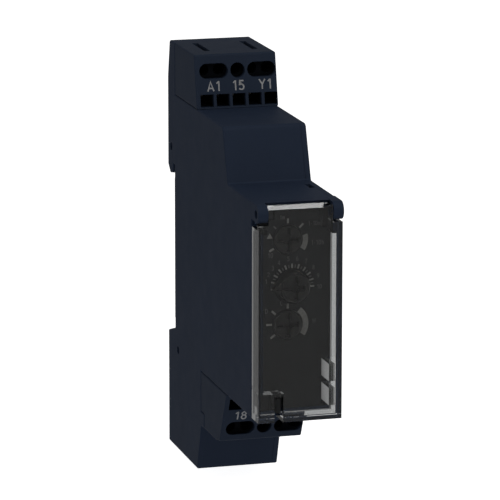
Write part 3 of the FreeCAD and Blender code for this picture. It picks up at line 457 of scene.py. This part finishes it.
printed("range_marks", [
    tick(RANGE_CENTRE, 90, 3.35, 4.35, 0.42), tick(RANGE_CENTRE, 44.5, 3.35, 4.5, 0.42),
    tick(RANGE_CENTRE, 210, 3.4, 4.5, 0.45),
    [(-5.8, 59.7), (-4.55, 59.7), (-5.18, 60.85)],
    arc(RANGE_CENTRE, 14, -34, 3.15, 4.25),
], MARK_INK)
printed("range_marks_faint", [tick(RANGE_CENTRE, 136, 3.4, 4.2, 0.3)], FAINT_INK)
printed("function_marks", [
    tick(FUNCTION_CENTRE, 90, 3.25, 4.35, 0.45), tick(FUNCTION_CENTRE, 139, 3.3, 4.5, 0.45),
    tick(FUNCTION_CENTRE, 178, 3.3, 4.5, 0.45), tick(FUNCTION_CENTRE, 217, 3.3, 4.5, 0.45),
    arc(FUNCTION_CENTRE, 51, -35, 3.2, 4.4),
], MARK_INK)
DIAL_START, DIAL_STEP, DIAL_COUNT = 187.0, -19.1, 11
dial_ticks = []
fine_ticks = []
for n in range(DIAL_COUNT):
    degrees = DIAL_START + DIAL_STEP * n
    dial_ticks.append(tick(DIAL_CENTRE, degrees, 3.65, 4.6, 0.36))
    if n < DIAL_COUNT - 1:
        fine_ticks.append(tick(DIAL_CENTRE, degrees + DIAL_STEP / 2, 3.75, 4.4, 0.24))
printed("dial_marks", dial_ticks, MARK_INK)
printed("dial_marks_fine", fine_ticks, FAINT_INK)


BOW_STEP = 22         # degrees between the points of a letter's curve


def bow(x, y, wide, tall, start, end):
    """Points along part of an ellipse."""
    count = max(4, round(abs(end - start) / BOW_STEP))
    turns = [math.radians(start + (end - start) * n / count) for n in range(count + 1)]
    return [(x + wide * math.cos(t), y + tall * math.sin(t)) for t in turns]


# Plain stroke letters: each is its width and its pen strokes, in a cell one unit high.
LETTERS = {
    "0": (0.60, [bow(0.30, 0.50, 0.24, 0.44, 90, 450)]),
    "1": (0.42, [[(0.30, 1.0), (0.30, 0.0)], [(0.06, 0.76), (0.24, 0.92)]]),
    "2": (0.60, [bow(0.30, 0.70, 0.24, 0.25, 165, -35) + [(0.06, 0.06), (0.56, 0.06)]]),
    "3": (0.58, [bow(0.27, 0.73, 0.22, 0.22, 150, -90), bow(0.27, 0.27, 0.25, 0.24, 90, -150)]),
    "4": (0.62, [[(0.44, 1.0), (0.44, 0.0)], [(0.38, 0.95), (0.05, 0.28), (0.60, 0.28)]]),
    "5": (0.60, [[(0.54, 0.94), (0.14, 0.94), (0.11, 0.56)] + bow(0.28, 0.32, 0.25, 0.27, 112, -150)]),
    "6": (0.60, [bow(0.30, 0.30, 0.24, 0.25, 0, 360), [(0.07, 0.40), (0.18, 0.74), (0.42, 0.96)]]),
    "7": (0.58, [[(0.04, 0.94), (0.52, 0.94), (0.20, 0.0)]]),
    "8": (0.60, [bow(0.30, 0.74, 0.20, 0.20, 0, 360), bow(0.30, 0.27, 0.24, 0.24, 0, 360)]),
    "9": (0.60, [bow(0.30, 0.69, 0.24, 0.25, 0, 360), [(0.53, 0.60), (0.42, 0.26), (0.18, 0.04)]]),
    "A": (0.72, [[(0.05, 0.0), (0.36, 0.96), (0.67, 0.0)], [(0.19, 0.30), (0.53, 0.30)]]),
    "C": (0.66, [bow(0.34, 0.50, 0.27, 0.44, 50, 310)]),
    "D": (0.66, [[(0.08, 0.06), (0.08, 0.94)] + bow(0.26, 0.50, 0.33, 0.44, 90, -90) + [(0.08, 0.06)]]),
    "W": (0.90, [[(0.04, 1.0), (0.24, 0.06), (0.45, 0.80), (0.66, 0.06), (0.86, 1.0)]]),
    "Y": (0.68, [[(0.04, 1.0), (0.34, 0.50), (0.34, 0.0)], [(0.38, 0.55), (0.64, 1.0)]]),
    "h": (0.50, [[(0.07, 1.0), (0.07, 0.0)], bow(0.26, 0.42, 0.17, 0.20, 170, 0) + [(0.43, 0.0)]]),
    "m": (0.76, [[(0.07, 0.64), (0.07, 0.0)], bow(0.23, 0.42, 0.15, 0.20, 170, 0) + [(0.38, 0.0)],
                 bow(0.54, 0.42, 0.15, 0.20, 170, 0) + [(0.69, 0.0)]]),
    "s": (0.44, [bow(0.22, 0.49, 0.16, 0.14, 40, 270) + bow(0.22, 0.20, 0.17, 0.15, 90, -150)]),
    "-": (0.36, [[(0.04, 0.42), (0.32, 0.42)]]),
}
LETTER_GAP = 0.2
SHARPEST = 1.6        # how far a mitre may run out, in half pens
FLATTEST = 0.2        # the least a stroke's two directions are taken to agree at a corner


def ribbon(points, pen):
    """The outline of a pen stroke along a line of points."""
    line = [Vector(p) for p in points]
    sides = [[], []]
    for n, point in enumerate(line):
        before = (point - line[n - 1]).normalized() if n > 0 else None
        after = (line[n + 1] - point).normalized() if n < len(line) - 1 else None
        if before is None or after is None:
            ahead, reach = before or after, 1.0
        else:
            ahead = (before + after).normalized()
            reach = min(SHARPEST, 1.0 / max(FLATTEST, ahead.dot(after)))
        across = Vector((-ahead.y, ahead.x)) * pen / 2 * reach
        sides[0].append(tuple(point + across))
        sides[1].append(tuple(point - across))
    return sides[0] + sides[1][::-1]


def lettering(name, text, centre, height, look, right=Vector((1, 0, 0)), up=Vector((0, 0, 1)),
              stretch=1.0, pen=0.14):
    """A line of text as a thin solid, its middle at centre and its capitals height millimetres tall."""
    outlines = []
    across = 0.0
    for letter in text:
        wide, strokes = LETTERS[letter]
        outlines += [[(across + a, b) for a, b in ribbon(stroke, pen)] for stroke in strokes]
        across += wide + LETTER_GAP
    middle = (across - LETTER_GAP) / 2
    out = right.cross(up)

    def place(a, b, deep):
        return centre + (right * (a - middle) * stretch * height + up * (b - 0.5) * height + out * deep) * MM

    return raised(name, outlines, place, look)


def panel_text(name, text, across, up, height, stretch=0.85):
    """A faint label on the faceplate."""
    lettering(name, text, spot(across, PANEL_FRONT, up), height, FAINT_INK, stretch=stretch)


panel_text("range_text_low", "1-10s", -6.3, 61.3, 0.75, stretch=0.5)
panel_text("range_text_top", "1m", -2.5, 64.0, 0.9)
panel_text("range_text_high", "1-10m", 4.3, 62.4, 0.95)
panel_text("range_text_right", "1-10h", 4.9, 58.4, 1.0)
panel_text("range_text_left", "10", -5.0, 56.2, 1.0)
# The time dial's numbers and the angles they stand at, and how far out.
DIGIT_RADIUS = 5.7
DIAL_DIGITS = ((1, 168), (2, 153), (3, 137), (4, 120), (5, 99), (6, 80), (7, 60), (8, 39), (9, 18), (10, -5))
for number, degrees in DIAL_DIGITS:
    across, up = around(DIAL_CENTRE, DIGIT_RADIUS, degrees)
    panel_text("dial_digit_%d" % number, str(number), across, up, 0.95)
panel_text("function_text_c", "C", -2.65, 46.2, 1.05)
panel_text("function_text_d", "D", -5.8, 44.7, 1.05)
panel_text("function_text_right", "W", 4.2, 42.1, 0.95)


TERMINAL_LETTERS = 2.1


def sloped_text(name, text, across, up, bottom, top, height):
    """A terminal's designation on a sloped face that runs between two (forward, up) corners."""
    share = (up - bottom[1]) / (top[1] - bottom[1])
    forward = bottom[0] + (top[0] - bottom[0]) * share
    along = Vector((0, bottom[0] - top[0], top[1] - bottom[1])).normalized()
    lettering(name, text, spot(across, forward, up), height, LABEL_INK, up=along)


for text, across in (("A1", -5.05), ("15", 0.4), ("Y1", 6.25)):
    sloped_text("terminal_text_" + text, text, across, 83.4, *UPPER_FACE, TERMINAL_LETTERS)
for text, across in (("18", -5.15), ("16", 0.75), ("A2", 5.6)):
    sloped_text("terminal_text_" + text, text, across, 17.25, *LOWER_FACE, TERMINAL_LETTERS)


# ---- Stage, light and camera ------------------------------------------------------------------

FLOOR_HEIGHT = cad_low.z - 3.0 * MM
REACH = 6.0           # metres from the object to the floor's sides


def stage_piece(name, mesh):
    thing = bpy.data.objects.new(name, mesh)
    bpy.context.scene.collection.objects.link(thing)
    return thing


floor_mesh = bpy.data.meshes.new("floor")
floor_mesh.from_pydata([(-REACH, -REACH, FLOOR_HEIGHT), (REACH, -REACH, FLOOR_HEIGHT),
                        (REACH, REACH, FLOOR_HEIGHT), (-REACH, REACH, FLOOR_HEIGHT)], [], [(0, 1, 2, 3)])
floor = stage_piece("floor", floor_mesh)
floor.visible_diffuse = False
floor.visible_glossy = False
floor.visible_transmission = False
paint, tree, shader = new_material("pale_floor")
tree.links.new(mixed(tree, ranged(tree, noise(tree, 60.0), 0.0, 1.0), (0.90, 0.90, 0.90), (0.93, 0.93, 0.93)),
               shader.inputs["Base Color"])
shader.inputs["Roughness"].default_value = 0.9
shader.inputs["Emission Color"].default_value = (1.0, 1.0, 1.0, 1.0)
shader.inputs["Emission Strength"].default_value = 0.93
floor.data.materials.append(paint)

# A white backdrop all round that only the camera sees, and not through clear plastic. It lights nothing,
# so the light on the object stays soft and low, as it has to on so dark a plastic.
dome_form = bmesh.new()
bmesh.ops.create_icosphere(dome_form, subdivisions=4, radius=REACH * 1.3)
dome_mesh = bpy.data.meshes.new("backdrop")
dome_form.to_mesh(dome_mesh)
dome_form.free()
dome = stage_piece("backdrop", dome_mesh)
for ray in ("diffuse", "glossy", "transmission", "shadow"):
    setattr(dome, "visible_" + ray, False)
glow, tree, shader = new_material("backdrop_white")
shader.inputs["Base Color"].default_value = (0.0, 0.0, 0.0, 1.0)
shader.inputs["Specular IOR Level"].default_value = 0.0
shader.inputs["Emission Color"].default_value = (1.0, 1.0, 1.0, 1.0)
shader.inputs["Emission Strength"].default_value = 1.0
dome.data.materials.append(glow)

DIM, BRIGHT = 0.21, 0.58      # the surroundings in general, and low down at the right
world = bpy.data.worlds.new("studio")
bpy.context.scene.world = world
world.use_nodes = True
tree = world.node_tree
sky = tree.nodes["Background"]
sky.inputs["Color"].default_value = (1.0, 1.0, 1.0, 1.0)
BRIGHT_SIDE = (0.9, 0.3, -1.2)
heading = tree.nodes.new("ShaderNodeTexCoord")
toward = tree.nodes.new("ShaderNodeVectorMath")
toward.operation = "DOT_PRODUCT"
toward.inputs[1].default_value = BRIGHT_SIDE
tree.links.new(heading.outputs["Generated"], toward.inputs[0])
tree.links.new(ranged(tree, toward.outputs["Value"], DIM, BRIGHT, 0.35, 0.75), sky.inputs["Strength"])


def softbox(name, place, aim, size, power, colour=(1.0, 1.0, 1.0)):
    """A rectangular area light at a place in metres, turned to its aim."""
    lamp = bpy.data.lights.new(name, "AREA")
    lamp.shape = "RECTANGLE"
    lamp.size, lamp.size_y = size
    lamp.energy = power
    lamp.color = colour
    thing = bpy.data.objects.new(name, lamp)
    thing.location = place
    thing.rotation_euler = (Vector(aim) - Vector(place)).to_track_quat("-Z", "Y").to_euler()
    bpy.context.scene.collection.objects.link(thing)
    return thing


softbox("top_softbox", (0.17, -0.20, 0.60), (0, -0.04, 0), (0.19, 0.10), 0.5)
softbox("front_softbox", (0.05, -0.85, 0.60), (0, 0, 0), (0.35, 0.35), 1.4, (1.0, 0.93, 0.82))
softbox("left_softbox", (-0.60, -0.25, 0.15), (0, -0.03, 0), (0.30, 0.40), 0.5)

lens = bpy.data.cameras.new("view")
lens.lens = 268.5
lens.sensor_width = 36.0
lens.clip_start = 0.01
lens.clip_end = 50.0
eye = bpy.data.objects.new("view", lens)
eye.location = (-0.20758, -0.76725, 0.17624)
AIM = Vector((-0.00418, -0.04368, 0.00841))
ROLL = math.radians(0.06)
eye.rotation_mode = "QUATERNION"
eye.rotation_quaternion = ((AIM - eye.location).to_track_quat("-Z", "Y")
                           @ Matrix.Rotation(ROLL, 3, "Z").to_quaternion())
bpy.context.scene.collection.objects.link(eye)
bpy.context.scene.camera = eye
bpy.context.scene.view_settings.view_transform = "Standard"
